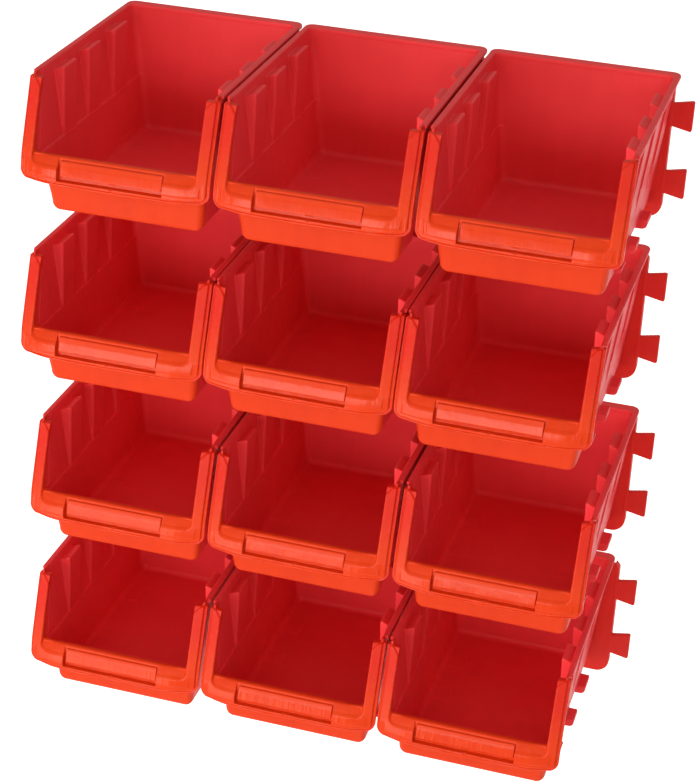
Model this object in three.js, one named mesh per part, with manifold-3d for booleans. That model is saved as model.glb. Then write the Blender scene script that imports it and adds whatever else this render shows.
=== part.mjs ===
// Wall-hung set of open-fronted parts bins.
// Twelve identical moulded bins hang in three columns and four rows. Each bin
// hooks over its own hanger plate. The plates of one row interlock sideways by
// dovetail tabs and sockets, and each plate is held to the wall by two screws.
//
// Millimetres. +Z up, the bins open towards -Y, the wall is the plane y = 0.
// Origin: on the back face of the hanger plate in the middle of the top row.
import * as THREE from 'three';
import { mergeVertices } from 'three/addons/utils/BufferGeometryUtils.js';
import Module from 'manifold-3d';

// ---------------------------------------------------------------- layout
const COLS = 3;
const ROWS = 4;
const PITCH_X = 106.2;          // plate to plate along a row
const PITCH_Z = 101.7;          // row to row
const PLATE_MID_Z = 30;         // height of the origin above a bin's underside
const ROW_SHIFT = [0, -3.4, 0.6, 1.0];          // each row of plates as screwed on
const BIN_SHIFT = [                              // side play of each bin on its hook
  [1.7, 2.2, 2.8],
  [-1.6, -2.2, -2.8],
  [0.8, 1.3, 1.9],
  [-2.1, -1.7, -1.9],
];

// ---------------------------------------------------------------- bin
const BIN_W = 105;              // across the rim and the front frame
const BIN_H = 75.6;             // underside of the foot to top of the rim
const WALL = 1.7;
const FOOT_HALF = 42.5;         // half width at the underside
const TOP_HALF = 50.9;          // half width of the walls at the rim
const BACK_Y = -6.4;            // outer face of the back wall
const REAR_RIM_Y = -1.0;        // rear edge of the rim and hook
const FOOT_FRONT_Y = -137.8;    // front of the underside
const FOOT_TOP_Y = -141.4;      // front wall where the scoop slope starts
const FOOT_TOP_Z = 22;
const POST_TOP_Y = -138.7;      // front frame at the rim
const LIP_Y = -157.7;           // front frame at the lip's lower corners
const LIP_BOW = 4.0;            // how far the lip's middle stands forward
const LIP_LOW_Z = 25.2;
const LIP_TOP_Z = 39.8;
const LIP_STRAIGHT = 36.5;      // half length of the lip's straight middle
const FRAME_T = 2.0;
const POST_W = 7.4;
const RIM_T = 2.5;
const RIM_BAND = 3.4;
const RIB_SPANS = [[-48, -29], [-84, -67], [-117, -100]];
const RIB_FACE = 42.6;          // inner face of the ribs
const RIB_TOP_Z = 72.4;
const LUG_OUT = 48.6;
const LUG_H = 6.6;
const LUG_SPANS = [[-46, -32], [-81, -69], [-114, -103]];
const HOOK_HALF = 34;
const HOOK_T = 2.0;
const HOOK_LOW_Z = 61.5;
const LABEL = { x0: -28.5, x1: 27.5, z0: 27.2, z1: 35.0, depth: 1.1 };

// ---------------------------------------------------------------- plate
const PLATE_T = 6.0;
const PLATE_LOW_Z = -7.5;
const PLATE_TOP_Z = 71.5;
const PLATE_HALF = PITCH_X / 2 - 0.15;
const TAB_Z = [53, 14];
const TAB_BASE = 6.5;
const TAB_TIP = 8.8;
const TAB_LEN = 11.4;
const TAB_T = 3.2;
const SOCKET_GAP = 0.35;
const SHEET_T = 2.6;            // front sheet in front of the rear pocket
const PLATE_RIM = 3.0;
const SCREW_X = [-30, 30];
const SCREW_Z = 42;
const BOSS_HALF = 8;

// ---------------------------------------------------------------- screw
const SHANK_R = 1.9;
const HEAD_R = 4.0;
const HEAD_H = 2.3;
const SCREW_L = 30;

// ---------------------------------------------------------------- solids
const wasm = await Module();
wasm.setup();

function solid(geometry) {
  const g = geometry.clone();
  g.deleteAttribute('normal');
  g.deleteAttribute('uv');
  const m = mergeVertices(g, 1e-4);
  return new wasm.Manifold(new wasm.Mesh({
    numProp: 3,
    vertProperties: new Float32Array(m.attributes.position.array),
    triVerts: new Uint32Array(m.index.array),
  }));
}

function geometryOf(manifold) {
  const mesh = manifold.getMesh();
  const n = mesh.numProp;
  const pos = new Float32Array((mesh.vertProperties.length / n) * 3);
  for (let i = 0; i < pos.length / 3; i++) {
    pos[3 * i] = mesh.vertProperties[n * i];
    pos[3 * i + 1] = mesh.vertProperties[n * i + 1];
    pos[3 * i + 2] = mesh.vertProperties[n * i + 2];
  }
  const g = new THREE.BufferGeometry();
  g.setAttribute('position', new THREE.BufferAttribute(pos, 3));
  g.setIndex(new THREE.BufferAttribute(new Uint32Array(mesh.triVerts), 1));
  g.computeVertexNormals();
  return g;
}

function box(x0, x1, y0, y1, z0, z1) {
  const g = new THREE.BoxGeometry(x1 - x0, y1 - y0, z1 - z0);
  g.translate((x0 + x1) / 2, (y0 + y1) / 2, (z0 + z1) / 2);
  return solid(g);
}

function shapeOf(points) {
  const s = new THREE.Shape();
  points.forEach(([a, b], i) => (i ? s.lineTo(a, b) : s.moveTo(a, b)));
  s.closePath();
  return s;
}

// points with a corner radius each: [a, b, radius, segments]
function rounded(points) {
  const out = [];
  const n = points.length;
  for (let i = 0; i < n; i++) {
    const [ax, ay] = points[(i + n - 1) % n];
    const [x, y, r = 0, seg = 3] = points[i];
    const [bx, by] = points[(i + 1) % n];
    if (!r) { out.push([x, y]); continue; }
    const u = new THREE.Vector2(ax - x, ay - y).normalize();
    const v = new THREE.Vector2(bx - x, by - y).normalize();
    const half = Math.acos(THREE.MathUtils.clamp(u.dot(v), -1, 1)) / 2;
    const d = r / Math.tan(half);
    const p0 = new THREE.Vector2(x, y).addScaledVector(u, d);
    const p1 = new THREE.Vector2(x, y).addScaledVector(v, d);
    const mid = u.clone().add(v).normalize();
    const c = new THREE.Vector2(x, y).addScaledVector(mid, r / Math.sin(half));
    let a0 = Math.atan2(p0.y - c.y, p0.x - c.x);
    let a1 = Math.atan2(p1.y - c.y, p1.x - c.x);
    if (a1 - a0 > Math.PI) a1 -= 2 * Math.PI;
    if (a0 - a1 > Math.PI) a1 += 2 * Math.PI;
    for (let k = 0; k <= seg; k++) {
      const a = a0 + ((a1 - a0) * k) / seg;
      out.push([c.x + r * Math.cos(a), c.y + r * Math.sin(a)]);
    }
  }
  return out;
}

// outline in x, y raised along z
function raiseZ(points, z0, z1) {
  const g = new THREE.ExtrudeGeometry(shapeOf(points), { depth: z1 - z0, bevelEnabled: false });
  g.translate(0, 0, z0);
  return g;
}

// outline in x, z carried along y
function carryY(points, y0, y1) {
  const g = new THREE.ExtrudeGeometry(shapeOf(points), { depth: y1 - y0, bevelEnabled: false });
  g.rotateX(Math.PI / 2);                 // shape y becomes z, depth becomes -y
  g.translate(0, y1, 0);
  return g;
}

// outline in y, z carried along x
function carryX(points, x0, x1) {
  const g = new THREE.ExtrudeGeometry(shapeOf(points), { depth: x1 - x0, bevelEnabled: false });
  const p = g.attributes.position;
  for (let i = 0; i < p.count; i++) p.setXYZ(i, p.getZ(i) + x0, p.getX(i), p.getY(i));
  return g;
}

function remap(g, fn) {
  const p = g.attributes.position;
  for (let i = 0; i < p.count; i++) {
    const [x, y, z] = fn(p.getX(i), p.getY(i), p.getZ(i));
    p.setXYZ(i, x, y, z);
  }
  return g;
}

// half width of the outer wall at height z
const wallHalf = (z) => FOOT_HALF + ((TOP_HALF - FOOT_HALF) * z) / BIN_H;
// front face of the frame at height z, measured at the lip's corners
const lean = (z) => LIP_Y + ((POST_TOP_Y - LIP_Y) * (z - LIP_LOW_Z)) / (BIN_H - LIP_LOW_Z);

// ---------------------------------------------------------------- bin
function makeBin() {
  // side profile: foot, scoop slope, leaning front edge, back
  const side = carryX([
    [BACK_Y, 0], [FOOT_FRONT_Y, 0], [FOOT_TOP_Y, FOOT_TOP_Z],
    [lean(LIP_TOP_Z) - LIP_BOW + 0.6, LIP_TOP_Z - 0.6], [lean(BIN_H) + 0.3, BIN_H], [BACK_Y, BIN_H],
  ], -60, 60);
  // plan outline, widened towards the rim
  const plan = remap(raiseZ(rounded([
    [-FOOT_HALF, BACK_Y, 3, 1], [FOOT_HALF, BACK_Y, 3, 1], [FOOT_HALF, -175], [-FOOT_HALF, -175],
  ]), 0, BIN_H), (x, y, z) => [(x * wallHalf(z)) / FOOT_HALF, y, z]);
  // rounded lower edges of the foot, seen from the front
  const front = carryY(rounded([
    [-wallHalf(0), 0, 4, 1], [wallHalf(0), 0, 4, 1], [wallHalf(BIN_H), BIN_H], [-wallHalf(BIN_H), BIN_H],
  ]), -180, 10);
  const outer = solid(side).intersect(solid(plan)).intersect(solid(front));

  const insideSide = carryX([
    [BACK_Y - WALL, WALL + 0.3], [FOOT_FRONT_Y + WALL, WALL + 0.3], [FOOT_TOP_Y + WALL, FOOT_TOP_Z + 0.7],
    [-175, FOOT_TOP_Z + 0.7 + (175 + FOOT_TOP_Y + WALL) * 1.1], [-175, 90], [BACK_Y - WALL, 90],
  ], -60, 60);
  const z0 = WALL + 0.3;
  const insideFront = carryY(rounded([
    [-(wallHalf(z0) - WALL), z0, 2.6, 1], [wallHalf(z0) - WALL, z0, 2.6, 1],
    [wallHalf(90) - WALL, 90], [-(wallHalf(90) - WALL), 90],
  ]), -180, 10);
  const inner = solid(insideSide).intersect(solid(insideFront));

  let body = outer.subtract(inner);

  // stacking ribs: three hollow pilasters on each side wall
  for (const s of [-1, 1]) {
    RIB_SPANS.forEach(([y0, y1], i) => {
      const a = Math.min(s * RIB_FACE, s * 56);
      const b = Math.max(s * RIB_FACE, s * 56);
      body = body.add(box(a, b, y0, y1, 4, RIB_TOP_Z).intersect(outer));
      const c = Math.min(s * (RIB_FACE + WALL), s * 60);
      const d = Math.max(s * (RIB_FACE + WALL), s * 60);
      body = body.subtract(box(c, d, y0 + WALL, y1 - WALL, 4, RIB_TOP_Z - WALL));
      const [l0, l1] = LUG_SPANS[i];
      const e = Math.min(s * (FOOT_HALF - 0.9), s * LUG_OUT);
      const f = Math.max(s * (FOOT_HALF - 0.9), s * LUG_OUT);
      const lug = carryY(s > 0
        ? [[e, LUG_H], [e, 1.0], [f - 2.2, 1.0], [f, 3.2], [f, LUG_H]]
        : [[f, LUG_H], [e, LUG_H], [e, 3.2], [e + 2.2, 1.0], [f, 1.0]], l0, l1);
      body = body.add(solid(lug).subtract(inner));
    });
  }

  // rim flange, run over the plate at the back
  const ring = raiseZ(rounded([
    [-BIN_W / 2, REAR_RIM_Y, 5, 2], [BIN_W / 2, REAR_RIM_Y, 5, 2],
    [BIN_W / 2, POST_TOP_Y + 0.5], [-BIN_W / 2, POST_TOP_Y + 0.5],
  ]), BIN_H - RIM_T, BIN_H);
  const hole = raiseZ([
    [-(BIN_W / 2 - RIM_BAND), BACK_Y - WALL], [BIN_W / 2 - RIM_BAND, BACK_Y - WALL],
    [BIN_W / 2 - RIM_BAND, -150], [-(BIN_W / 2 - RIM_BAND), -150],
  ], BIN_H - RIM_T - 1, BIN_H + 1);
  body = body.add(solid(ring).subtract(solid(hole)));

  // hook tongue, hanging behind the top edge of the plate
  body = body.add(box(-HOOK_HALF, HOOK_HALF, REAR_RIM_Y - HOOK_T, REAR_RIM_Y, HOOK_LOW_Z, BIN_H - RIM_T / 2));

  // front frame: a bowed, leaning band in the shape of a U
  const bowed = (y) => [
    [-BIN_W / 2, y], [-LIP_STRAIGHT, y - LIP_BOW], [LIP_STRAIGHT, y - LIP_BOW], [BIN_W / 2, y],
  ];
  const band = [...bowed(LIP_Y), ...bowed(LIP_Y + FRAME_T).reverse()];
  const slope = (POST_TOP_Y - LIP_Y) / (BIN_H - LIP_LOW_Z);
  const curtain = remap(raiseZ(band, LIP_LOW_Z, BIN_H), (x, y, z) => [x, y + slope * (z - LIP_LOW_Z), z]);
  const uShape = carryY([
    ...rounded([[-BIN_W / 2, BIN_H], [-BIN_W / 2, LIP_LOW_Z, 6, 2], [BIN_W / 2, LIP_LOW_Z, 6, 2], [BIN_W / 2, BIN_H]]),
    ...rounded([[BIN_W / 2 - POST_W, BIN_H], [BIN_W / 2 - POST_W, LIP_TOP_Z, 3, 1], [-(BIN_W / 2 - POST_W), LIP_TOP_Z, 3, 1], [-(BIN_W / 2 - POST_W), BIN_H]]),
  ], -175, -120);
  let frame = solid(curtain).intersect(solid(uShape));
  // label recess across the lip
  const recess = remap(raiseZ([
    [LABEL.x0, LIP_Y - LIP_BOW - 3], [LABEL.x1, LIP_Y - LIP_BOW - 3],
    [LABEL.x1, LIP_Y - LIP_BOW + LABEL.depth], [LABEL.x0, LIP_Y - LIP_BOW + LABEL.depth],
  ], LABEL.z0, LABEL.z1), (x, y, z) => [x, y + slope * (z - LIP_LOW_Z), z]);
  frame = frame.subtract(solid(recess));

  body = body.add(frame);
  return geometryOf(body);
}

// ---------------------------------------------------------------- plate
function makePlate() {
  const L = -PLATE_HALF;
  const R = PLATE_HALF;
  const outline = carryY(rounded([
    [L, PLATE_LOW_Z, 8, 2], [R, PLATE_LOW_Z, 8, 2], [R, PLATE_TOP_Z, 3, 1], [L, PLATE_TOP_Z, 3, 1],
  ]), -PLATE_T, 0);
  let plate = solid(outline);
  // rear pocket, open at the top for the hook; a rim and a web stay on the wall
  const pocket = box(L + PLATE_RIM + 12, R - PLATE_RIM, -PLATE_T + SHEET_T, 1, PLATE_LOW_Z + PLATE_RIM, PLATE_TOP_Z + 1);
  const keep = box(-2, 2, -PLATE_T, 0, PLATE_LOW_Z, 58);
  const bosses = SCREW_X.map((x) => box(x - BOSS_HALF, x + BOSS_HALF, -PLATE_T, 0, SCREW_Z - BOSS_HALF, SCREW_Z + BOSS_HALF));
  let hollow = pocket.subtract(keep);
  for (const b of bosses) hollow = hollow.subtract(b);
  plate = plate.subtract(hollow);
  // dovetail tabs on the right, sockets on the left
  for (const z of TAB_Z) {
    const tab = carryY([
      [R - 0.5, z - TAB_BASE + 0.1], [R, z - TAB_BASE], [R + TAB_LEN, z - TAB_TIP], [R + TAB_LEN, z + TAB_TIP], [R, z + TAB_BASE], [R - 0.5, z + TAB_BASE - 0.1],
    ], -PLATE_T, -PLATE_T + TAB_T);
    plate = plate.add(solid(tab));
    const g = SOCKET_GAP;
    const e = 0.3;
    const socket = carryY([
      [L - 1, z - TAB_BASE - g], [L + 0.01, z - TAB_BASE - g], [L - e + TAB_LEN + g + e, z - TAB_TIP - g - 0.1], [L - e + TAB_LEN + g + e, z + TAB_TIP + g + 0.1], [L + 0.01, z + TAB_BASE + g], [L - 1, z + TAB_BASE + g],
    ], -PLATE_T - 1, 1);
    plate = plate.subtract(solid(socket));
  }
  // countersunk holes
  for (const x of SCREW_X) {
    const profile = [
      new THREE.Vector2(0, -1), new THREE.Vector2(HEAD_R + 0.35, -1), new THREE.Vector2(HEAD_R + 0.35, 0.35),
      new THREE.Vector2(SHANK_R + 0.35, HEAD_H + 0.35), new THREE.Vector2(SHANK_R + 0.35, PLATE_T + 1), new THREE.Vector2(0, PLATE_T + 1),
    ];
    const hole = new THREE.LatheGeometry(profile, 10);
    hole.translate(0, -PLATE_T, 0);
    hole.translate(x, 0, SCREW_Z);
    plate = plate.subtract(solid(hole));
  }
  return geometryOf(plate);
}

// ---------------------------------------------------------------- screw
function makeScrew() {
  const profile = [
    new THREE.Vector2(0, 0.3), new THREE.Vector2(HEAD_R, 0.3), new THREE.Vector2(SHANK_R, HEAD_H),
    new THREE.Vector2(SHANK_R, SCREW_L - 4), new THREE.Vector2(0, SCREW_L),
  ];
  const g = new THREE.LatheGeometry(profile, 10);
  g.translate(0, -PLATE_T, 0);
  return geometryOf(solid(g));
}

// ---------------------------------------------------------------- assembly
const binMaterial = () => new THREE.MeshStandardMaterial({ color: 0xc8281e, roughness: 0.38, metalness: 0 });
const plateMaterial = () => new THREE.MeshStandardMaterial({ color: 0xb8201e, roughness: 0.42, metalness: 0 });
const screwMaterial = () => new THREE.MeshStandardMaterial({ color: 0xc9ccd0, roughness: 0.3, metalness: 1 });

const binGeometry = makeBin();
const plateGeometry = makePlate();
const screwGeometry = makeScrew();

const group = new THREE.Group();

function place(geometry, material, name, parent, x, y, z) {
  const mesh = new THREE.Mesh(geometry, material);
  mesh.name = name;
  mesh.position.set(x, y, z);
  parent.add(mesh);
  return mesh;
}

for (let r = 0; r < ROWS; r++) {
  const row = new THREE.Group();
  row.position.set(0, 0, -PLATE_MID_Z - r * PITCH_Z);
  group.add(row);
  for (let c = 0; c < COLS; c++) {
    const x = (c - 1) * PITCH_X;
    const tag = `r${r + 1}_c${c + 1}`;
    place(plateGeometry, plateMaterial(), `hanger_plate_${tag}`, row, x + ROW_SHIFT[r], 0, 0);
    place(screwGeometry, screwMaterial(), `wall_screw_left_${tag}`, row, x + ROW_SHIFT[r] + SCREW_X[0], 0, SCREW_Z);
    place(screwGeometry, screwMaterial(), `wall_screw_right_${tag}`, row, x + ROW_SHIFT[r] + SCREW_X[1], 0, SCREW_Z);
    place(binGeometry, binMaterial(), `bin_${tag}`, row, x + BIN_SHIFT[r][c], 0, 0);
  }
}

export default group;
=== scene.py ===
import math
import bpy
import numpy as np
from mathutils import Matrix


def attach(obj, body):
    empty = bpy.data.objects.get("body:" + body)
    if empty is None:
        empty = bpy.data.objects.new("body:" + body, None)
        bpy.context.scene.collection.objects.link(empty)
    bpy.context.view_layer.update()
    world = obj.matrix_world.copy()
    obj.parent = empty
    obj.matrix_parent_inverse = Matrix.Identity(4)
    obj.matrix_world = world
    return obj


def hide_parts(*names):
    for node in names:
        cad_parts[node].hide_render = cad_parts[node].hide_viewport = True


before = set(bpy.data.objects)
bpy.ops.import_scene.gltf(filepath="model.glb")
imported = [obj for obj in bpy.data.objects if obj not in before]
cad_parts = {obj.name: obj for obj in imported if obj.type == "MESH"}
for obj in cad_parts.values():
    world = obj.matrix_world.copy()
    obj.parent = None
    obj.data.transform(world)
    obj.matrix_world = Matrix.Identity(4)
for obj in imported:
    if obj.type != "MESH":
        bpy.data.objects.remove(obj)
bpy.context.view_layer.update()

import openvdb
from mathutils import Matrix, Vector

MM = 0.001

# ------------------------------------------------------------------ sizes, in millimetres
COLS, ROWS = 3, 4
PITCH_X, PITCH_Z, PLATE_MID_Z = 106.2, 101.7, 30.0
ROW_SHIFT = [0.0, -3.4, 0.6, 1.0]
BIN_SHIFT = [[1.7, 2.2, 2.8], [-1.6, -2.2, -2.8], [0.8, 1.3, 1.9], [-2.1, -1.7, -1.9]]

BIN_W, BIN_H, WALL = 105.0, 75.6, 1.7
FOOT_HALF, TOP_HALF = 42.5, 50.9
BACK_Y, REAR_RIM_Y = -6.4, -1.0
FOOT_FRONT_Y, FOOT_TOP_Y, FOOT_TOP_Z = -137.8, -141.4, 22.0
POST_TOP_Y, LIP_Y, LIP_BOW = -138.7, -157.7, 4.0
LIP_LOW_Z, LIP_TOP_Z, LIP_STRAIGHT = 25.2, 39.8, 36.5
POST_W, RIM_T, RIM_BAND = 7.4, 2.5, 3.4
RIB_SPANS = [(-48.0, -29.0), (-84.0, -67.0), (-117.0, -100.0)]
RIB_FACE, RIB_TOP_Z = 42.6, 72.4
LEDGE_Z, LEDGE_T = 34.5, 0.9
RIDGE_Z, BEAD_Z = 37.2, 22.6
LUG_OUT, LUG_H = 48.6, 6.6
LUG_SPANS = [(-46.0, -32.0), (-81.0, -69.0), (-114.0, -103.0)]
HOOK_HALF, HOOK_T, HOOK_LOW_Z = 34.0, 2.0, 61.5
SLOPE = (POST_TOP_Y - LIP_Y) / (BIN_H - LIP_LOW_Z)

PLATE_T, PLATE_LOW_Z, PLATE_TOP_Z = 6.0, -7.5, 71.5
PLATE_HALF = PITCH_X / 2 - 0.15
TAB_Z, TAB_BASE, TAB_TIP, TAB_LEN, TAB_T = (53.0, 14.0), 6.5, 8.8, 11.4, 3.2
SOCKET_GAP, SHEET_T, PLATE_RIM = 0.35, 2.6, 3.0
SCREW_X, SCREW_Z, BOSS_HALF = (-30.0, 30.0), 42.0, 8.0
SHANK_R, HEAD_R, HEAD_H, SCREW_L = 1.9, 4.0, 2.3, 30.0


# ------------------------------------------------------------------ distance-field shapes
def f_inter(a, b, r):
    """a and b, with their shared edge rounded to r"""
    return np.minimum(-r, np.maximum(a, b)) + np.hypot(np.maximum(r + a, 0), np.maximum(r + b, 0))


def f_union(a, b, r):
    """a or b, with a fillet of r between them"""
    return -f_inter(-a, -b, r)


def f_cut(a, b, r):
    return f_inter(a, -b, r)


def box2(u, v, hu, hv, r):
    """rounded rectangle, |u| < hu and |v| < hv"""
    qu, qv = np.abs(u) - (hu - r), np.abs(v) - (hv - r)
    return np.hypot(np.maximum(qu, 0), np.maximum(qv, 0)) + np.minimum(np.maximum(qu, qv), 0) - r


def slab(u, lo, hi):
    return np.abs(u - (lo + hi) / 2) - (hi - lo) / 2


def wall_half(z):
    return FOOT_HALF + (TOP_HALF - FOOT_HALF) * z / BIN_H


def face_y(ax, z):
    """front face of the leaning, bowed frame"""
    q = ax - LIP_STRAIGHT
    bow = LIP_BOW - 0.25 * 0.5 * (q + np.sqrt(q * q + 9.0))
    w = z - 36.0
    upright = 0.22 * 0.5 * (np.sqrt(w * w + 6.0) - w)
    return LIP_Y + SLOPE * (z - LIP_LOW_Z) - bow + upright


def bin_field(x, y, z):
    ax = np.abs(x)
    # shell, outside
    side = (ax - wall_half(z)) * 0.994
    foot = (FOOT_FRONT_Y + (FOOT_TOP_Y - FOOT_FRONT_Y) * z / FOOT_TOP_Z - y) * 0.987
    scoop = (FOOT_TOP_Y - (z - FOOT_TOP_Z) * 0.744 - y) * 0.802
    front = f_union(foot, scoop, 5.0)
    r_front = np.clip(1.4 + 0.55 * z, 1.4, 4.0)
    r_front = np.minimum(r_front, np.clip(8.0 - (z - 16.0) * 0.45, 2.0, 8.0))
    outer = f_inter(side, y - BACK_Y, 3.0)
    outer = f_inter(outer, -z, 4.5)
    outer = f_inter(outer, front, r_front)
    # shell, inside
    floor_z = WALL + 0.3
    side_i = (ax - wall_half(z) + WALL) * 0.994
    # the lower part of each side wall is thicker, which leaves a narrow ledge
    side_i = side_i + LEDGE_T * 0.5 * (1 - np.tanh((z - LEDGE_Z) / 0.3))
    foot_i = (FOOT_FRONT_Y + WALL + (FOOT_TOP_Y - FOOT_FRONT_Y) * z / FOOT_TOP_Z - y) * 0.987
    scoop_i = (FOOT_TOP_Y + WALL - (z - FOOT_TOP_Z - 0.9) * 0.744 - y) * 0.802
    front_i = f_union(foot_i, scoop_i, 8.0)
    inner = f_inter(side_i, y - (BACK_Y - WALL), 3.6)
    inner = f_inter(inner, front_i, np.clip(7.0 - (z - 16.0) * 0.3, 3.0, 7.0))
    inner = f_inter(inner, floor_z - z, 3.2)
    shell = f_inter(outer, -inner, 0.35)

    # stacking ribs: hollow pilasters with draft, standing inside the side walls
    draft = 0.012 * (RIB_TOP_Z - z)
    for y0, y1 in RIB_SPANS:
        yc, hy = (y0 + y1) / 2, (y1 - y0) / 2
        dy = np.abs(y - yc) - hy + draft
        face = RIB_FACE + 1.1 * np.clip((RIB_TOP_Z - z) / (RIB_TOP_Z - LEDGE_Z), 0, 1)
        rib = f_inter(face - ax, dy, 1.3)
        rib = f_inter(rib, (z - RIB_TOP_Z + 0.42 * np.maximum(ax - RIB_FACE - 1.6, 0)) * 0.93, 0.9)
        rib = np.maximum(rib, np.maximum(side, LEDGE_Z - 1.0 - z))
        shell = f_union(shell, rib, 0.9)
        ch = f_inter(RIB_FACE + WALL + 0.3 - ax, dy + WALL, 1.0)
        ch = f_inter(ch, z - (RIB_TOP_Z - WALL) + 0.42 * np.maximum(ax - RIB_FACE - 1.6, 0), 0.8)
        ch = np.maximum(ch, 4.0 - z)
        shell = f_cut(shell, ch, 0.6)
    # lugs beside the foot
    for y0, y1 in LUG_SPANS:
        yc, hy = (y0 + y1) / 2, (y1 - y0) / 2
        out_x, low_z = (LUG_OUT, 1.0) if y0 > -100 else (LUG_OUT - 1.6, 3.0)
        lug = box2(ax - (FOOT_HALF - 4), z - (LUG_H + low_z) / 2, out_x - FOOT_HALF + 4, (LUG_H - low_z) / 2, 0.6)
        lug = f_inter(lug, (ax - out_x + 1.0 + (low_z - z)) * 0.7071 + 0.4, 1.2)
        lug = f_inter(lug, np.abs(y - yc) - hy, 0.9)
        lug = np.maximum(lug, -inner)
        shell = f_union(shell, lug, 0.8)

    # rim flange, carried over the plate at the back
    ry = y - (REAR_RIM_Y - 90.0)
    rim_o = box2(ax, ry, BIN_W / 2, 90.0, 5.0)
    rim_i = box2(ax, y - (BACK_Y - WALL - 90.0), BIN_W / 2 - RIM_BAND, 90.0, 3.6)
    rim = f_inter(f_inter(rim_o, -rim_i, 0.7), slab(z, BIN_H - RIM_T, BIN_H), 0.8)
    post_back = LIP_Y + SLOPE * (BIN_H - LIP_LOW_Z) + 4.6
    rim = f_inter(rim, post_back - y, 0.5)
    shell = f_inter(shell, z - BIN_H, 0.5)
    body = f_union(shell, rim, 0.5)
    # tongue that hangs behind the plate's top edge
    tongue = f_inter(box2(x, z - (HOOK_LOW_Z + BIN_H - 1.0) / 2, HOOK_HALF, (BIN_H - 1.0 - HOOK_LOW_Z) / 2, 1.6), slab(y, REAR_RIM_Y - HOOK_T, REAR_RIM_Y), 0.6)
    body = f_union(body, tongue, 0.5)

    # ---- front frame
    t = (y - face_y(ax, z)) / 1.075
    # the body stops behind the frame
    body = f_inter(body, -t + 1.2, 0.3)
    over = np.maximum(np.maximum(ax - wall_half(z) + WALL - 0.2, RIDGE_Z - z), t - 9.0)
    body = f_cut(body, over, 0.4)
    low_z = BEAD_Z + 0.9 * (ax / 53.0) ** 2
    ox, oz = ax - BIN_W / 2 + 4.8, low_z + 4.8 - z
    d_o = np.hypot(np.maximum(ox, 0), np.maximum(oz, 0)) + np.minimum(np.maximum(ox, oz), 0) - 4.8
    px_, pz_ = ax - (BIN_W / 2 - POST_W) + 3.2, (RIDGE_Z - 5.0 + 3.2) - z
    d_i = np.hypot(np.maximum(px_, 0), np.maximum(pz_, 0)) + np.minimum(np.maximum(px_, pz_), 0) - 3.2
    top = z - (BIN_H - 2.0)
    cham = (top + (BIN_W / 2 - POST_W + 3.6 - ax)) * 0.7071
    low = np.clip((z - 64.0) / 8.0, 0, 1)
    depth = 3.2 + 1.2 * low
    # flange behind the face block
    flange = f_inter(f_inter(d_o, -d_i, 0.4), f_inter(0.9 - t, t - depth, 0.4), 0.4)
    flange = f_inter(flange, top, 0.5)
    # proud face block
    u2 = f_inter(d_o + 1.45, -d_i, 0.5)
    u2 = f_inter(u2, cham, 0.8)
    block = f_inter(f_inter(u2, -t, 1.1), t - depth, 0.4)
    block = f_inter(block, top, 0.6)
    # lip: shoulder, sloped band, top ridge
    band = (0.62 * (z - RIDGE_Z + 5.0) - t) * 0.85
    lip = f_inter(f_inter(-t, band, 2.2), z - RIDGE_Z, 0.45)
    lip = f_inter(lip, t - 4.5, 0.45)
    lip = np.maximum(lip, np.maximum(ax - 46.5, 28.0 - z))
    frame_s = f_union(flange, block, 0.25)
    frame_s = f_union(frame_s, lip, 1.6)
    # fine groove between block and flange
    groove = np.hypot(d_o + 1.35, t - 0.8) - 0.5
    frame_s = f_cut(frame_s, groove, 0.2)
    # label panel with the gap under it and at its ends
    window = np.maximum(slab(x, -30.0, 28.0), np.maximum(t - 2.9, BEAD_Z + 3.0 - z))
    frame_s = f_cut(frame_s, window, 0.35)
    slope_in = 0.15 * (z - 28.0)
    panel = f_inter(slab(x, -28.8, 27.6), f_inter(0.7 + slope_in - t, t - 3.4, 0.3), 0.5)
    panel = f_inter(panel, slab(z, BEAD_Z + 5.4, RIDGE_Z - 1.4), 0.6)
    frame_s = np.minimum(frame_s, panel)
    body = f_union(body, frame_s, 0.8)

    # underside: shallow panel and the gate mark
    under = f_inter(box2(x, y + 72.0, 36.0, 58.0, 4.0), slab(z, -2.0, 0.5), 0.3)
    body = f_cut(body, under, 0.3)
    gate = np.hypot(np.hypot(x, y + 72.0) - 3.4, z - 0.5) - 0.45
    return f_cut(body, gate, 0.2)


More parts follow.
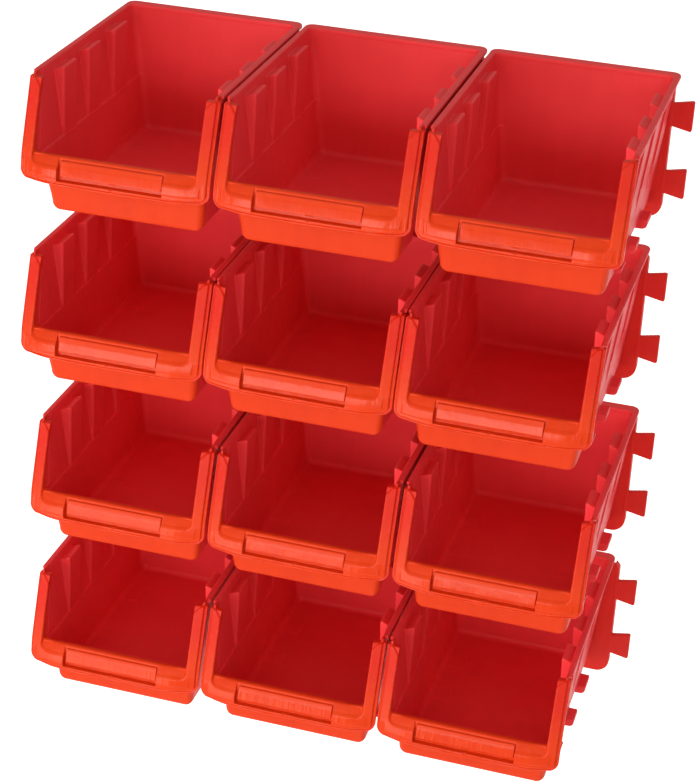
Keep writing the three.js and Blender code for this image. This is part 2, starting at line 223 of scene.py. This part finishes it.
def plate_field(x, y, z):
    L, R = -PLATE_HALF, PLATE_HALF
    zc, hz = (PLATE_LOW_Z + PLATE_TOP_Z) / 2, (PLATE_TOP_Z - PLATE_LOW_Z) / 2
    low = box2(x, z - zc, PLATE_HALF, hz, 8.0)
    sharp = np.maximum(np.abs(x) - PLATE_HALF, np.abs(z - zc) - hz)
    upper = f_inter(sharp, (np.abs(x) - PLATE_HALF + z - PLATE_TOP_Z + 3.0) * 0.7071, 1.0)
    out2 = np.where(z < zc, low, upper)
    plate = f_inter(out2, slab(y, -PLATE_T, 0.0), 0.6)
    # pocket in the rear, open at the top, round the web and the screw bosses
    pocket = box2(x - (L + PLATE_RIM + 12 + R - PLATE_RIM) / 2, z - (PLATE_LOW_Z + PLATE_RIM + 90) / 2, (R - L - 2 * PLATE_RIM - 12) / 2, (90 - PLATE_LOW_Z - PLATE_RIM) / 2, 4.0)
    web = np.maximum(np.abs(x) - 2.0, z - 58.0)
    keep = web
    for sx in SCREW_X:
        keep = f_union(keep, box2(x - sx, z - SCREW_Z, BOSS_HALF, BOSS_HALF, 3.0), 1.5)
    pocket = f_inter(f_inter(pocket, -keep, 0.8), -(PLATE_T - SHEET_T) - y, 0.8)
    plate = f_cut(plate, pocket, 0.4)
    # dovetail tabs and sockets
    for tz in TAB_Z:
        s = (x - R) / TAB_LEN
        halfw = TAB_BASE + (TAB_TIP - TAB_BASE) * np.clip(s, -0.3, 1.2)
        d2 = f_inter((np.abs(z - tz) - halfw) * 0.97, np.maximum(x - R - TAB_LEN, R - 2.0 - x), 1.2)
        tab = f_inter(d2, slab(y, -PLATE_T, -PLATE_T + TAB_T), 0.5)
        plate = f_union(plate, tab, 0.5)
        s = (x - L) / TAB_LEN
        halfw = TAB_BASE + SOCKET_GAP + (TAB_TIP - TAB_BASE) * np.clip(s, -0.3, 1.2)
        d2 = f_inter((np.abs(z - tz) - halfw) * 0.97, x - L - TAB_LEN - SOCKET_GAP, 1.0)
        plate = f_cut(plate, d2, 0.35)
    # countersunk holes
    for sx in SCREW_X:
        rr = np.hypot(x - sx, z - SCREW_Z)
        dy = y + PLATE_T
        cone = (rr - (HEAD_R + 0.35) + np.clip(dy - 0.35, 0, None) * ((HEAD_R - SHANK_R) / HEAD_H)) * 0.74
        hole = np.minimum(np.maximum(cone, dy - HEAD_H - 0.35), rr - (SHANK_R + 0.35))
        plate = f_cut(plate, hole, 0.2)
    return plate


def screw_field(x, y, z):
    r = np.hypot(x, z)
    d = y + PLATE_T - 0.3                       # depth below the head's face
    cone = (r - HEAD_R + np.maximum(d - 0.35, 0) * ((HEAD_R - SHANK_R) / (HEAD_H - 0.65))) * 0.72
    head = f_inter(np.maximum(cone, d - HEAD_H + 0.3), -d + 0.12 * 0, 0.12)
    # face cut flat
    head = np.maximum(head, -(d + 0.0) - 0.0)
    ang = np.arctan2(z, x)
    lead = 1.9
    ph = (d / lead - ang / (2 * math.pi)) % 1.0
    thread = 0.62 * np.maximum(0, 1 - np.abs(ph - 0.5) * 5.2)
    taper = np.clip((SCREW_L - 0.6 - d) / 6.0, 0, 1)
    core = np.where(d < 8.0, SHANK_R - 0.15, SHANK_R - 0.62 + thread * np.clip((d - 8.0) / 1.5, 0, 1))
    shank = (r - core * np.where(d > SCREW_L - 6.6, 0.12 + 0.88 * taper, 1.0)) * 0.62
    shank = np.maximum(shank, np.maximum(d - SCREW_L + 0.4, 0.5 - d))
    s = f_union(head, shank, 0.3)
    # cross recess
    arm = np.minimum(np.maximum(np.abs(x) - 0.42, np.abs(z) - 2.1 + d * 0.55), np.maximum(np.abs(z) - 0.42, np.abs(x) - 2.1 + d * 0.55))
    arm = np.minimum(arm, r - 0.95 + d * 0.3)
    return f_cut(s, np.maximum(arm, d - 1.9), 0.08)


# ------------------------------------------------------------------ meshing
def field_mesh(name, field, lo, hi, h, faces, eps=0.14, reach=0.45):
    """closed mesh of field = 0, thinned to about that many triangles, with normals from the field"""
    B = 8
    nb = [int(math.ceil((hi[i] - lo[i]) / (B * h))) + 1 for i in range(3)]
    org = np.array(lo, dtype=np.float64)
    cx, cy, cz = np.meshgrid(*[np.arange(n) for n in nb], indexing="ij")
    cen = [org[i] + (c.ravel() * B + (B - 1) / 2) * h for i, c in enumerate((cx, cy, cz))]
    f0 = field(*[c.astype(np.float32) for c in cen])
    band = np.float32(3 * h)
    live = np.abs(f0) < B * h * 0.5 * 1.7321 * 1.12 + 0.6
    coarse = np.where(f0 > 0, band, -band).astype(np.float32).reshape(nb)
    grid = np.repeat(np.repeat(np.repeat(coarse, B, 0), B, 1), B, 2)
    ids = np.flatnonzero(live)
    g = np.arange(B)
    gx, gy, gz = [v.ravel() for v in np.meshgrid(g, g, g, indexing="ij")]
    bx, by, bz = cx.ravel()[ids] * B, cy.ravel()[ids] * B, cz.ravel()[ids] * B
    step = 1400
    for s in range(0, len(ids), step):
        ix = (bx[s:s + step, None] + gx[None]).ravel()
        iy = (by[s:s + step, None] + gy[None]).ravel()
        iz = (bz[s:s + step, None] + gz[None]).ravel()
        v = field((org[0] + ix * h).astype(np.float32), (org[1] + iy * h).astype(np.float32), (org[2] + iz * h).astype(np.float32))
        grid[ix, iy, iz] = np.clip(v, -band, band)
    vol = openvdb.FloatGrid(float(band))
    vol.copyFromArray(grid)
    pts, tris, quads = vol.convertToPolygons(isovalue=0.0, adaptivity=0.0)
    co = (pts.astype(np.float64) * h + org)
    me = bpy.data.meshes.new(name)
    nt, nq = len(tris), len(quads)
    me.vertices.add(len(co))
    me.vertices.foreach_set("co", (co * MM).astype(np.float32).ravel())
    me.loops.add(nt * 3 + nq * 4)
    me.loops.foreach_set("vertex_index", np.concatenate([tris.ravel(), quads.ravel()]).astype(np.int32))
    me.polygons.add(nt + nq)
    me.polygons.foreach_set("loop_start", np.concatenate([np.arange(nt) * 3, nt * 3 + np.arange(nq) * 4]).astype(np.int32))
    me.update(calc_edges=True)
    me.validate()
    # outward faces
    me.calc_loop_triangles()
    n = len(me.loop_triangles)
    tri = np.zeros(n * 3, dtype=np.int32)
    me.loop_triangles.foreach_get("vertices", tri)
    p = co[tri.reshape(-1, 3)]
    if np.einsum("ij,ij->i", p[:, 0], np.cross(p[:, 1], p[:, 2])).sum() < 0:
        me.flip_normals()
    ratio = faces / max(n, 1)
    if ratio < 1:
        ob = bpy.data.objects.new(name + "_tmp", me)
        bpy.context.scene.collection.objects.link(ob)
        mod = ob.modifiers.new("thin", "DECIMATE")
        mod.ratio = ratio
        mod.use_collapse_triangulate = True
        dg = bpy.context.evaluated_depsgraph_get()
        thin = bpy.data.meshes.new_from_object(ob.evaluated_get(dg))
        bpy.data.objects.remove(ob)
        bpy.data.meshes.remove(me)
        me = thin
        me.name = name
    shade(me, field, eps, reach)
    print(name, "raw", n, "kept", len(me.polygons))
    return me


def shade(me, field, eps, reach):
    """face-corner normals taken from the field just inside each corner"""
    me.shade_smooth()
    nv, nl, nf = len(me.vertices), len(me.loops), len(me.polygons)
    co = np.zeros(nv * 3, dtype=np.float32)
    me.vertices.foreach_get("co", co)
    co = co.reshape(-1, 3).astype(np.float64) / MM
    vi = np.zeros(nl, dtype=np.int32)
    me.loops.foreach_get("vertex_index", vi)
    tot = np.zeros(nf, dtype=np.int32)
    me.polygons.foreach_get("loop_total", tot)
    fi = np.repeat(np.arange(nf), tot)
    cen = np.zeros((nf, 3))
    for k in range(3):
        cen[:, k] = np.bincount(fi, co[vi, k], nf) / tot
    fn = np.zeros(nf * 3, dtype=np.float32)
    me.polygons.foreach_get("normal", fn)
    fn = fn.reshape(-1, 3)[fi]
    v = co[vi]
    w = cen[fi] - v
    ln = np.linalg.norm(w, axis=1)
    q = v + w * (np.minimum(1.0, reach / np.maximum(ln, 1e-9)))[:, None]
    grad = np.zeros((nl, 3), dtype=np.float32)
    for s in range(0, nl, 400000):
        a = q[s:s + 400000].astype(np.float32)
        # the slope of the field
        for k in range(3):
            d = np.zeros(3, dtype=np.float32); d[k] = eps
            hi_, lo_ = a + d, a - d
            grad[s:s + 400000, k] = field(hi_[:, 0], hi_[:, 1], hi_[:, 2]) - field(lo_[:, 0], lo_[:, 1], lo_[:, 2])
    g = grad / np.maximum(np.linalg.norm(grad, axis=1), 1e-9)[:, None]
    bad = (np.einsum("ij,ij->i", g, fn) < 0.35)
    g[bad] = fn[bad]
    me.normals_split_custom_set(g.tolist())


# ------------------------------------------------------------------ materials
def new_material(name):
    m = bpy.data.materials.new(name)
    m.use_nodes = True
    m.node_tree.nodes.clear()
    return m, m.node_tree.nodes, m.node_tree.links


def ramp(nodes, stops):
    n = nodes.new("ShaderNodeValToRGB")
    e = n.color_ramp.elements
    e[0].position, e[0].color = stops[0]
    e[1].position, e[1].color = stops[-1]
    for p, c in stops[1:-1]:
        x = e.new(p)
        x.color = c
    return n


def grey(v):
    return (v, v, v, 1.0)


def plastic(name, base, deep, pale, rough, seed, grain=1.0, front=None):
    m, N, L = new_material(name)
    out = N.new("ShaderNodeOutputMaterial")
    b = N.new("ShaderNodeBsdfPrincipled")
    b.inputs["IOR"].default_value = 1.49
    b.inputs["Specular IOR Level"].default_value = 0.24
    tc = N.new("ShaderNodeTexCoord")
    mp = N.new("ShaderNodeMapping")
    mp.inputs["Location"].default_value = (seed * 0.37, seed * 0.21, seed * 0.53)
    L.new(tc.outputs["Object"], mp.inputs["Vector"])

    def noise(scale, detail, rough_=0.5, dist=0.0, vec=None):
        n = N.new("ShaderNodeTexNoise")
        n.inputs["Scale"].default_value = scale
        n.inputs["Detail"].default_value = detail
        n.inputs["Roughness"].default_value = rough_
        n.inputs["Distortion"].default_value = dist
        L.new(vec or mp.outputs["Vector"], n.inputs["Vector"])
        return n

    # broad shade drift of the pigment, and flow streaks that run down the walls
    cloud = noise(16.0, 3.0, 0.55, 0.4)
    st = N.new("ShaderNodeMapping")
    st.inputs["Scale"].default_value = (1.0, 1.0, 0.12)
    L.new(mp.outputs["Vector"], st.inputs["Vector"])
    streak = noise(95.0, 4.0, 0.6, 0.6, st.outputs["Vector"])
    mixf = N.new("ShaderNodeMath"); mixf.operation = "MULTIPLY_ADD"
    L.new(streak.outputs["Fac"], mixf.inputs[0]); mixf.inputs[1].default_value = 0.35
    half = N.new("ShaderNodeMath"); half.operation = "MULTIPLY"; half.inputs[1].default_value = 0.65
    L.new(cloud.outputs["Fac"], half.inputs[0]); L.new(half.outputs[0], mixf.inputs[2])
    col = ramp(N, [(0.32, deep), (0.5, base), (0.68, pale)])
    L.new(mixf.outputs[0], col.inputs["Fac"])
    shade_out = col.outputs["Color"]
    if front:
        # painted light: the front faces get a warmer, oranger copy of the base colour in place of the warm key
        # light falling on them, fading a few millimetres in
        sx = N.new("ShaderNodeSeparateXYZ")
        L.new(tc.outputs["Object"], sx.inputs["Vector"])

        def math_(op, a, b_, c_=None):
            n = N.new("ShaderNodeMath"); n.operation = op
            for i, v in enumerate((a, b_, c_)):
                if v is None:
                    continue
                if isinstance(v, (int, float)):
                    n.inputs[i].default_value = v
                else:
                    L.new(v, n.inputs[i])
            return n.outputs[0]

        zz, yy = sx.outputs["Z"], sx.outputs["Y"]
        upper = math_("MULTIPLY_ADD", zz, SLOPE, (LIP_Y - SLOPE * LIP_LOW_Z) * MM)
        lower = math_("MULTIPLY_ADD", zz, (FOOT_TOP_Y - FOOT_FRONT_Y) / FOOT_TOP_Z, FOOT_FRONT_Y * MM)
        above = math_("GREATER_THAN", zz, 0.0222)
        diff = math_("SUBTRACT", upper, lower)
        plane = math_("MULTIPLY_ADD", diff, above, lower)
        d = math_("SUBTRACT", yy, plane)
        painted_light_depth_mask = N.new("ShaderNodeMapRange")
        painted_light_depth_mask.interpolation_type = "SMOOTHSTEP"
        painted_light_depth_mask.inputs["From Min"].default_value = 0.0012
        painted_light_depth_mask.inputs["From Max"].default_value = 0.0075
        L.new(d, painted_light_depth_mask.inputs["Value"])
        painted_lit_front_tone = ramp(N, [(0.32, front[0]), (0.5, front[1]), (0.68, front[2])])
        L.new(mixf.outputs[0], painted_lit_front_tone.inputs["Fac"])
        painted_light_mix = N.new("ShaderNodeMix"); painted_light_mix.data_type = "RGBA"
        # the painted warm light is strongest on the lip and foot, and thins out up the posts into a deeper red,
        # painted shade where the posts catch less light
        up = N.new("ShaderNodeMapRange"); up.interpolation_type = "SMOOTHSTEP"
        up.inputs["From Min"].default_value = 0.036
        up.inputs["From Max"].default_value = 0.062
        up.inputs["To Max"].default_value = 0.8
        L.new(zz, up.inputs["Value"])
        painted_shade_up_posts = N.new("ShaderNodeMix"); painted_shade_up_posts.data_type = "RGBA"
        L.new(up.outputs["Result"], painted_shade_up_posts.inputs["Factor"])
        L.new(painted_lit_front_tone.outputs["Color"], painted_shade_up_posts.inputs[6])
        painted_shade_up_posts.inputs[7].default_value = (0.66, 0.014, 0.008, 1)
        L.new(painted_light_depth_mask.outputs["Result"], painted_light_mix.inputs["Factor"])
        L.new(painted_shade_up_posts.outputs[2], painted_light_mix.inputs[6])
        L.new(col.outputs["Color"], painted_light_mix.inputs[7])
        shade_out = painted_light_mix.outputs[2]
        # the lip band and its corner blocks come off a polished tool face with draw lines
        zb = N.new("ShaderNodeMapRange"); zb.interpolation_type = "SMOOTHSTEP"
        zb.inputs["From Min"].default_value = 0.0355
        zb.inputs["From Max"].default_value = 0.0325
        L.new(zz, zb.inputs["Value"])
        zl = math_("GREATER_THAN", zz, 0.0226)
        skin = math_("LESS_THAN", d, 0.0035)
        lip_mask = math_("MULTIPLY", math_("MULTIPLY", zb.outputs["Result"], zl), skin)
        ln = N.new("ShaderNodeMapping")
        ln.inputs["Scale"].default_value = (1.0, 0.02, 0.05)
        L.new(mp.outputs["Vector"], ln.inputs["Vector"])
        lines = noise(330.0, 3.0, 0.65, 0.0, ln.outputs["Vector"])
        lip_height = math_("MULTIPLY", lines.outputs["Fac"], lip_mask)

    # rubbed edges and corners go a little paler
    geo = N.new("ShaderNodeNewGeometry")
    edge = ramp(N, [(0.5, grey(0.0)), (0.56, grey(1.0))])
    L.new(geo.outputs["Pointiness"], edge.inputs["Fac"])
    scuff = noise(260.0, 3.0, 0.7)
    scr = ramp(N, [(0.45, grey(0.0)), (0.62, grey(1.0))])
    L.new(scuff.outputs["Fac"], scr.inputs["Fac"])
    ew = N.new("ShaderNodeMath"); ew.operation = "MULTIPLY"
    L.new(edge.outputs["Color"], ew.inputs[0]); L.new(scr.outputs["Color"], ew.inputs[1])
    ew2 = N.new("ShaderNodeMath"); ew2.operation = "MULTIPLY"; ew2.inputs[1].default_value = 0.22
    L.new(ew.outputs[0], ew2.inputs[0])
    worn = N.new("ShaderNodeMix"); worn.data_type = "RGBA"
    L.new(ew2.outputs[0], worn.inputs["Factor"])
    L.new(shade_out, worn.inputs[6])
    worn.inputs[7].default_value = (min(pale[0] * 1.05, 1), pale[1] * 2.2 + 0.05, pale[2] * 2.2 + 0.02, 1)
    L.new(worn.outputs[2], b.inputs["Base Color"])

    # satin gloss that varies: handling haze, fine moulded grain
    haze = noise(38.0, 5.0, 0.6, 0.8)
    rr = ramp(N, [(0.3, grey(rough - 0.06)), (0.7, grey(rough + 0.09))])
    L.new(haze.outputs["Fac"], rr.inputs["Fac"])
    radd = N.new("ShaderNodeMath"); radd.operation = "MULTIPLY_ADD"; radd.use_clamp = True
    L.new(scuff.outputs["Fac"], radd.inputs[0]); radd.inputs[1].default_value = 0.08
    L.new(rr.outputs["Color"], radd.inputs[2])
    if front:
        keep = math_("MULTIPLY_ADD", lip_mask, -0.55, 1.0)
        L.new(math_("MULTIPLY", radd.outputs[0], keep), b.inputs["Roughness"])
    else:
        L.new(radd.outputs[0], b.inputs["Roughness"])

    fine = noise(1500.0, 2.0, 0.5)
    wave = noise(60.0, 2.0, 0.5, 0.2)
    b1 = N.new("ShaderNodeBump")
    b1.inputs["Strength"].default_value = 0.35 * grain
    b1.inputs["Distance"].default_value = 0.00006
    L.new(fine.outputs["Fac"], b1.inputs["Height"])
    b2 = N.new("ShaderNodeBump")
    b2.inputs["Strength"].default_value = 0.5
    b2.inputs["Distance"].default_value = 0.0009
    L.new(wave.outputs["Fac"], b2.inputs["Height"])
    L.new(b1.outputs["Normal"], b2.inputs["Normal"])
    b3 = N.new("ShaderNodeBump")
    b3.inputs["Strength"].default_value = 0.35
    b3.inputs["Distance"].default_value = 0.0003
    L.new(streak.outputs["Fac"], b3.inputs["Height"])
    L.new(b2.outputs["Normal"], b3.inputs["Normal"])
    last = b3
    if front:
        b4 = N.new("ShaderNodeBump")
        b4.inputs["Strength"].default_value = 0.5
        b4.inputs["Distance"].default_value = 0.0008
        L.new(lip_height, b4.inputs["Height"])
        L.new(b3.outputs["Normal"], b4.inputs["Normal"])
        last = b4
    L.new(last.outputs["Normal"], b.inputs["Normal"])
    L.new(b.outputs["BSDF"], out.inputs["Surface"])
    return m


def zinc(name):
    m, N, L = new_material(name)
    out = N.new("ShaderNodeOutputMaterial")
    b = N.new("ShaderNodeBsdfPrincipled")
    b.inputs["Metallic"].default_value = 1.0
    tc = N.new("ShaderNodeTexCoord")
    n1 = N.new("ShaderNodeTexNoise")
    n1.inputs["Scale"].default_value = 420.0
    n1.inputs["Detail"].default_value = 4.0
    L.new(tc.outputs["Object"], n1.inputs["Vector"])
    col = ramp(N, [(0.3, (0.36, 0.37, 0.38, 1)), (0.55, (0.56, 0.57, 0.59, 1)), (0.75, (0.66, 0.64, 0.56, 1))])
    L.new(n1.outputs["Fac"], col.inputs["Fac"])
    L.new(col.outputs["Color"], b.inputs["Base Color"])
    rr = ramp(N, [(0.3, grey(0.24)), (0.7, grey(0.42))])
    L.new(n1.outputs["Fac"], rr.inputs["Fac"])
    L.new(rr.outputs["Color"], b.inputs["Roughness"])
    bp = N.new("ShaderNodeBump")
    bp.inputs["Strength"].default_value = 0.3
    bp.inputs["Distance"].default_value = 0.00005
    L.new(n1.outputs["Fac"], bp.inputs["Height"])
    L.new(bp.outputs["Normal"], b.inputs["Normal"])
    L.new(b.outputs["BSDF"], out.inputs["Surface"])
    return m


# ------------------------------------------------------------------ pieces
H_BIN, H_PLATE, H_SCREW = ((0.45, 0.45, 0.16))
bin_mesh = field_mesh("parts_bin", bin_field, (-54.0, -164.0, -1.5), (54.0, 1.5, 77.5), H_BIN, 90000)
plate_mesh = field_mesh("hanger_plate", plate_field, (-54.5, -7.5, -9.0), (66.5, 1.5, 73.0), H_PLATE, 14000)
screw_mesh = field_mesh("wall_screw", screw_field, (-4.6, -7.0, -4.6), (4.6, 25.0, 4.6), H_SCREW, 5000, eps=0.06, reach=0.12)

# the front tones are painted light: oranger, lit copies of the crimson bin colour for the front faces
bin_red = plastic("bin_polypropylene", (0.85, 0.045, 0.062, 1), (0.80, 0.040, 0.056, 1), (0.89, 0.051, 0.068, 1), 0.44, 3.0,
                  front=[(0.64, 0.033, 0.004, 1), (0.69, 0.041, 0.005, 1), (0.73, 0.050, 0.006, 1)])
plate_red = plastic("hanger_polypropylene", (0.74, 0.024, 0.021, 1), (0.68, 0.020, 0.019, 1), (0.80, 0.029, 0.024, 1), 0.42, 11.0)
steel = zinc("zinc_plated_steel")
bin_mesh.materials.clear(); bin_mesh.materials.append(bin_red)
plate_mesh.materials.clear(); plate_mesh.materials.append(plate_red)
screw_mesh.materials.clear(); screw_mesh.materials.append(steel)


def place(name, mesh, x, z, body, node):
    ob = bpy.data.objects.new(name, mesh)
    bpy.context.scene.collection.objects.link(ob)
    ob.location = (x * MM, 0.0, z * MM)
    bpy.context.view_layer.update()
    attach(ob, body)
    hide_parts(node)
    return ob


for r in range(ROWS):
    z = -PLATE_MID_Z - r * PITCH_Z
    for c in range(COLS):
        x = (c - 1) * PITCH_X
        tag = f"r{r + 1}_c{c + 1}"
        place(f"moulded_bin_{tag}", bin_mesh, x + BIN_SHIFT[r][c], z, f"bin_{tag}", f"bin_{tag}")
        place(f"moulded_hanger_plate_{tag}", plate_mesh, x + ROW_SHIFT[r], z, "wall_hangers", f"hanger_plate_{tag}")
        for side, sx in (("left", SCREW_X[0]), ("right", SCREW_X[1])):
            place(f"steel_screw_{side}_{tag}", screw_mesh, x + ROW_SHIFT[r] + sx, z + SCREW_Z, "wall_hangers", f"wall_screw_{side}_{tag}")

# ------------------------------------------------------------------ floor, light, camera
fm, N, L = new_material("studio_floor")
out = N.new("ShaderNodeOutputMaterial")
b = N.new("ShaderNodeBsdfPrincipled")
b.inputs["Roughness"].default_value = 0.9
n = N.new("ShaderNodeTexNoise")
n.inputs["Scale"].default_value = 3.0
tc = N.new("ShaderNodeTexCoord")
L.new(tc.outputs["Object"], n.inputs["Vector"])
col = ramp(N, [(0.0, (0.93, 0.93, 0.93, 1)), (1.0, (0.95, 0.95, 0.95, 1))])
L.new(n.outputs["Fac"], col.inputs["Fac"])
L.new(col.outputs["Color"], b.inputs["Base Color"])
b.inputs["Emission Color"].default_value = (1.0, 1.0, 1.0, 1)
sep = N.new("ShaderNodeSeparateXYZ")
L.new(tc.outputs["Object"], sep.inputs["Vector"])
glow = N.new("ShaderNodeMapRange")
glow.inputs["From Min"].default_value = -0.3
glow.inputs["From Max"].default_value = 0.5
glow.inputs["To Min"].default_value = 0.05
glow.inputs["To Max"].default_value = 0.9
L.new(sep.outputs["Y"], glow.inputs["Value"])
L.new(glow.outputs["Result"], b.inputs["Emission Strength"])
L.new(b.outputs["BSDF"], out.inputs["Surface"])
floor_me = bpy.data.meshes.new("studio_floor")
F = 14.0
FLOOR_Z = -0.95
floor_me.from_pydata([(-F, -F, FLOOR_Z), (F, -F, FLOOR_Z), (F, F, FLOOR_Z), (-F, F, FLOOR_Z)], [], [(0, 1, 2, 3)])
floor = bpy.data.objects.new("studio_floor", floor_me)
bpy.context.scene.collection.objects.link(floor)
floor_me.materials.append(fm)

world = bpy.data.worlds.new("studio")
bpy.context.scene.world = world
world.use_nodes = True
bg = world.node_tree.nodes.get("Background") or world.node_tree.nodes.new("ShaderNodeBackground")
bg.inputs["Color"].default_value = (1.0, 0.90, 0.78, 1)
bg.inputs["Strength"].default_value = 0.50


def area(name, loc, target, size, power, color):
    ld = bpy.data.lights.new(name, "AREA")
    ld.shape = "RECTANGLE"
    ld.size, ld.size_y = size
    ld.energy = power
    ld.color = color
    ob = bpy.data.objects.new(name, ld)
    bpy.context.scene.collection.objects.link(ob)
    ob.location = loc
    d = Vector(target) - Vector(loc)
    ob.rotation_euler = d.to_track_quat("-Z", "Y").to_euler()
    return ob


area("key", (-1.1, -2.2, 1.6), (0.0, -0.12, -0.15), (1.4, 1.1), 8.5, (1.0, 0.75, 0.42))
area("fill_right", (1.3, -2.0, 0.9), (0.0, -0.12, -0.15), (1.0, 1.0), 6.0, (1.0, 0.80, 0.50))
area("low_front", (-0.75, -1.30, -0.42), (-0.06, -0.14, -0.17), (0.9, 0.5), 6.4, (1.0, 0.84, 0.68))
area("lip_glow", (-0.28, -1.40, 0.04), (-0.02, -0.14, 0.0), (1.24, 0.28), 7.8, (1.0, 0.92, 0.84))
area("top_rear", (0.0, 1.5, 1.7), (0.0, -0.1, -0.1), (1.6, 0.8), 1.5, (1.0, 0.80, 0.55))

cam_data = bpy.data.cameras.new("camera")
cam = bpy.data.objects.new("camera", cam_data)
bpy.context.scene.collection.objects.link(cam)
right = Vector((0.956073, 0.290249, 0.040989))
up = Vector((-0.169772, 0.434296, 0.884627))
back = Vector((0.238961, -0.852727, 0.464495))
m = Matrix.Identity(4)
for i in range(3):
    m[i][0], m[i][1], m[i][2] = right[i], up[i], back[i]
m[0][3], m[1][3], m[2][3] = 0.28587, -1.08187, 0.40170
cam.matrix_world = m
cam_data.sensor_width = 36.0
cam_data.lens = 95.86
cam_data.shift_x = 0.0035
cam_data.shift_y = 0.0115
cam_data.clip_start = 0.05
cam_data.clip_end = 60.0
bpy.context.scene.camera = cam
bpy.context.scene.view_settings.view_transform = "Standard"
bpy.context.scene.view_settings.look = "None"

bpy.context.view_layer.update()
